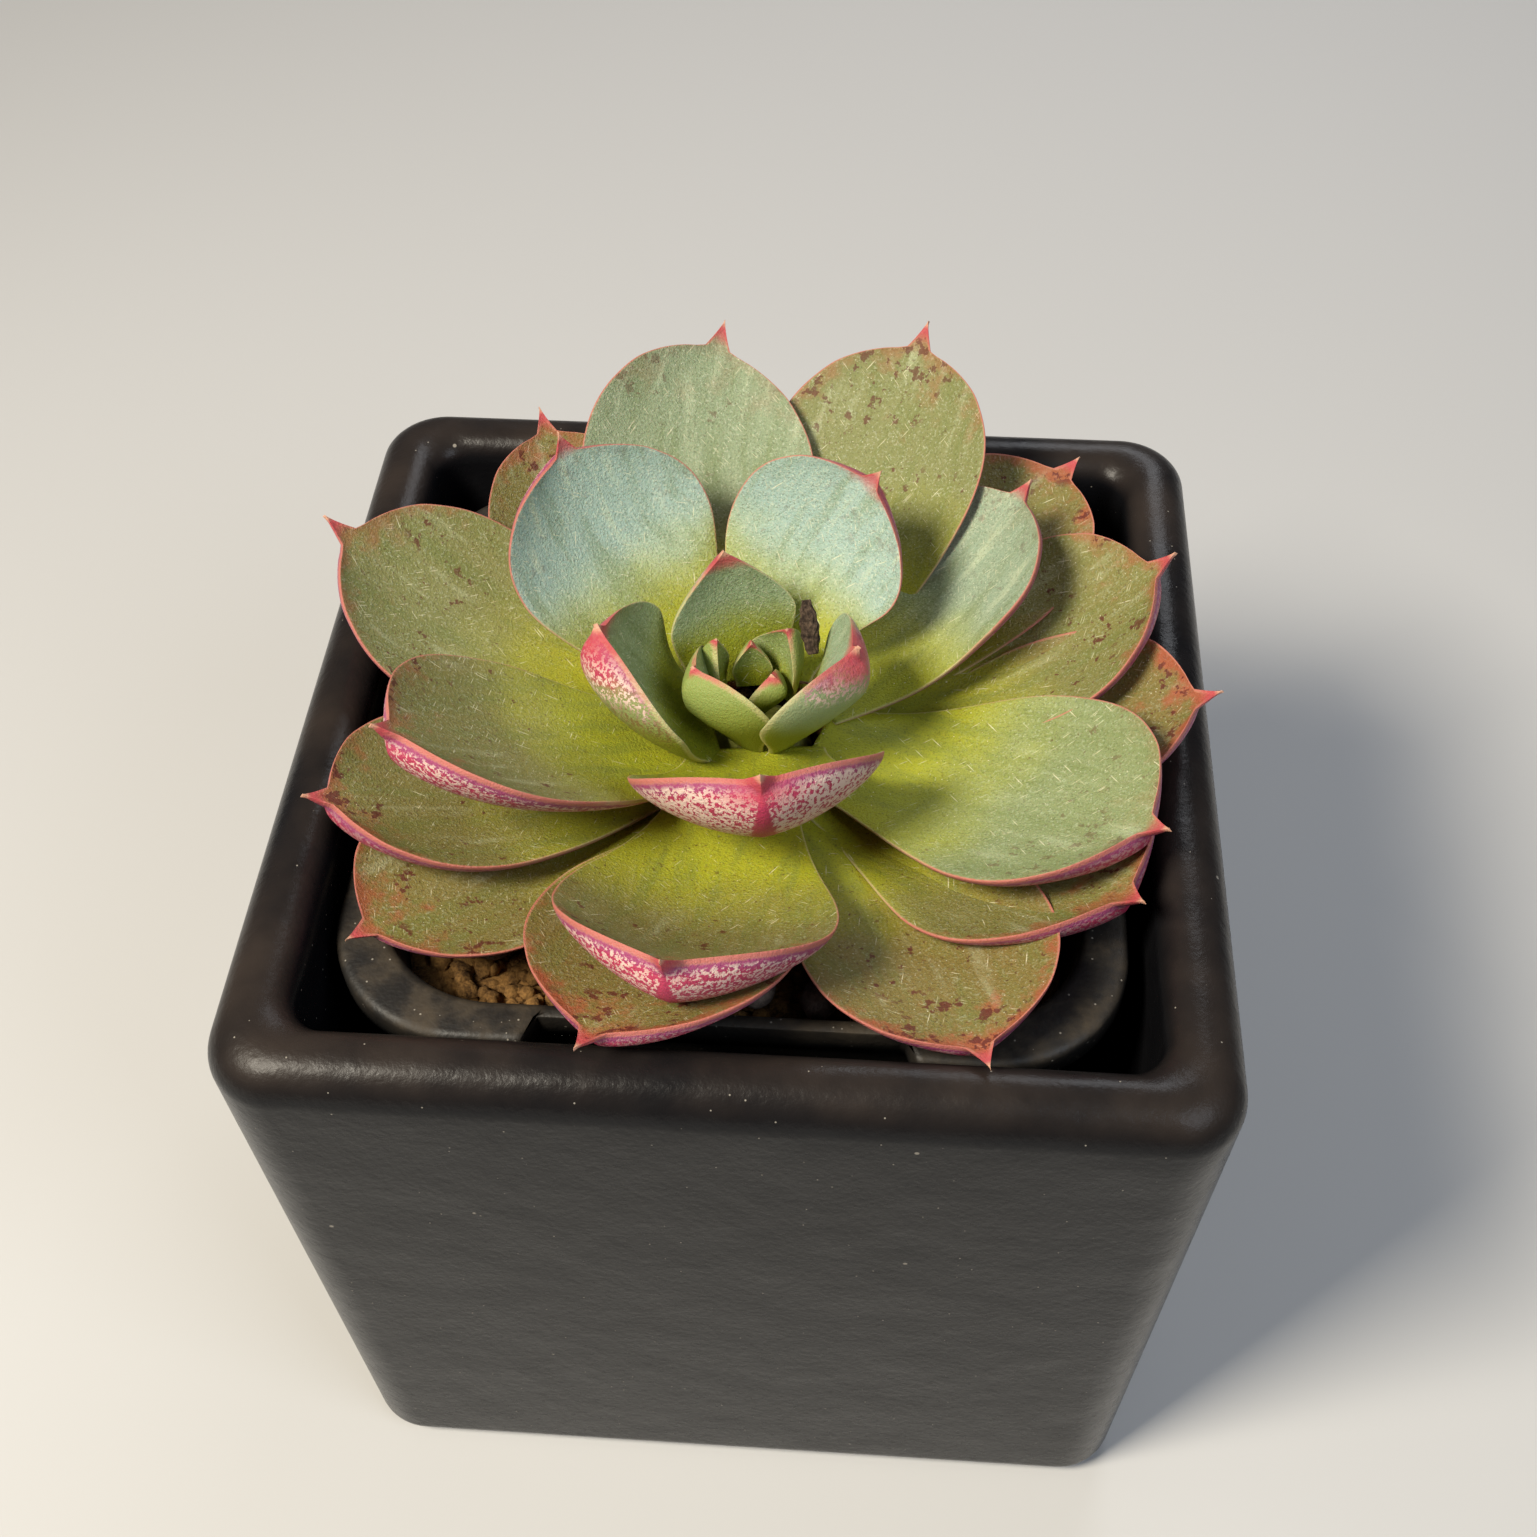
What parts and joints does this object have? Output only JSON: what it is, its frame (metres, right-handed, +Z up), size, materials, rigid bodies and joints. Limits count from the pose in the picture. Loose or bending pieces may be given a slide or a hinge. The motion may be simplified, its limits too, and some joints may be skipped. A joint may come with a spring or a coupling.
{
  "type": "potted succulent",
  "caption": "Fleshy rosette succulent with pink-edged leaves, growing in a black plastic nursery pot that stands in a square charcoal glazed pot.",
  "frame": {"origin": "centre of the flat foot of the square glazed pot", "axes": "+Z up along the pot's middle, -Y the front side of the pot, +X to the right of someone facing it"},
  "size_m": [0.09, 0.09, 0.099],
  "materials": {
    "glazed_pot": "satin charcoal glaze, dusty",
    "nursery_plastic": "moulded, dusty",
    "soil": "golden-brown porous grit",
    "pebble": "rough grey-brown stone",
    "stem": "dry brown bark",
    "leaf": "fleshy, waxy bloom, pink margins and magenta underside",
    "husk": "dried leaf"
  },
  "bodies": {
    "root": {"cachepot": "glazed_pot", "nursery_pot": "nursery_plastic", "soil": "soil", "stem": "stem", "dried_husk": "husk", "pebble_1": "pebble", "pebble_2": "pebble", "pebble_3": "pebble", "pebble_4": "pebble", "pebble_5": "pebble", "pebble_6": "pebble", "leaf_01": "leaf", "leaf_02": "leaf", "leaf_03": "leaf", "leaf_04": "leaf", "leaf_05": "leaf", "leaf_06": "leaf", "leaf_07": "leaf", "leaf_08": "leaf", "leaf_09": "leaf", "leaf_10": "leaf", "leaf_11": "leaf", "leaf_12": "leaf", "leaf_13": "leaf", "leaf_14": "leaf", "leaf_15": "leaf", "leaf_16": "leaf", "leaf_17": "leaf", "leaf_18": "leaf", "leaf_19": "leaf", "leaf_20": "leaf", "leaf_21": "leaf", "leaf_22": "leaf", "leaf_23": "leaf", "leaf_24": "leaf", "leaf_25": "leaf", "leaf_26": "leaf", "leaf_27": "leaf"}
  },
  "joints": []
}
